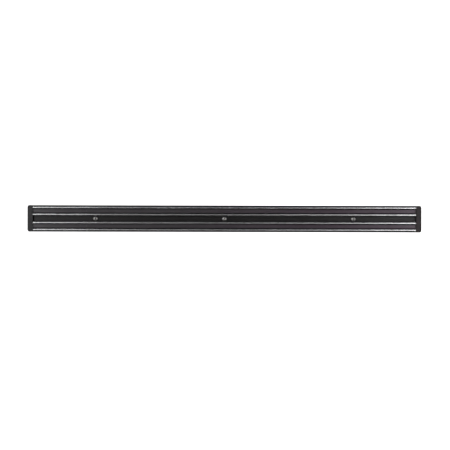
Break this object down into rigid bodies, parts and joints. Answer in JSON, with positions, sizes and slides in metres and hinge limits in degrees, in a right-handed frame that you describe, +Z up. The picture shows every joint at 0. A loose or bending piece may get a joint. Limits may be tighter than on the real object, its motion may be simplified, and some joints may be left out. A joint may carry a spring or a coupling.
{
  "type": "magnetic knife rack",
  "caption": "Wall-mounted magnetic knife rack: a slim black plastic bar whose proud steel rails, over hidden magnets, hold blades flat; screwed up through a central channel.",
  "frame": {"origin": "where the axis of the middle mounting screw meets the wall's surface, level with the middle of the rack's height", "axes": "+X along the rack to the right as someone facing it sees it, +Y out of the back into the wall, +Z up"},
  "size_m": [0.4572, 0.0357, 0.0308],
  "materials": {
    "body_plastic": "satin",
    "strip_plastic": "satin",
    "cap_plastic": "matte",
    "rail_steel": "satin",
    "ferrite": "matte",
    "screw_steel": "satin"
  },
  "bodies": {
    "root": {"body_extrusion": "body_plastic", "upper_outer_rail": "rail_steel", "upper_inner_rail": "rail_steel", "lower_inner_rail": "rail_steel", "lower_outer_rail": "rail_steel", "upper_cover_strip": "strip_plastic", "lower_cover_strip": "strip_plastic", "left_end_cap": "cap_plastic", "right_end_cap": "cap_plastic", "left_screw": "screw_steel", "centre_screw": "screw_steel", "right_screw": "screw_steel", "upper_magnet_1": "ferrite", "upper_magnet_2": "ferrite", "upper_magnet_3": "ferrite", "upper_magnet_4": "ferrite", "upper_magnet_5": "ferrite", "upper_magnet_6": "ferrite", "upper_magnet_7": "ferrite", "upper_magnet_8": "ferrite", "lower_magnet_1": "ferrite", "lower_magnet_2": "ferrite", "lower_magnet_3": "ferrite", "lower_magnet_4": "ferrite", "lower_magnet_5": "ferrite", "lower_magnet_6": "ferrite", "lower_magnet_7": "ferrite", "lower_magnet_8": "ferrite"}
  },
  "joints": []
}
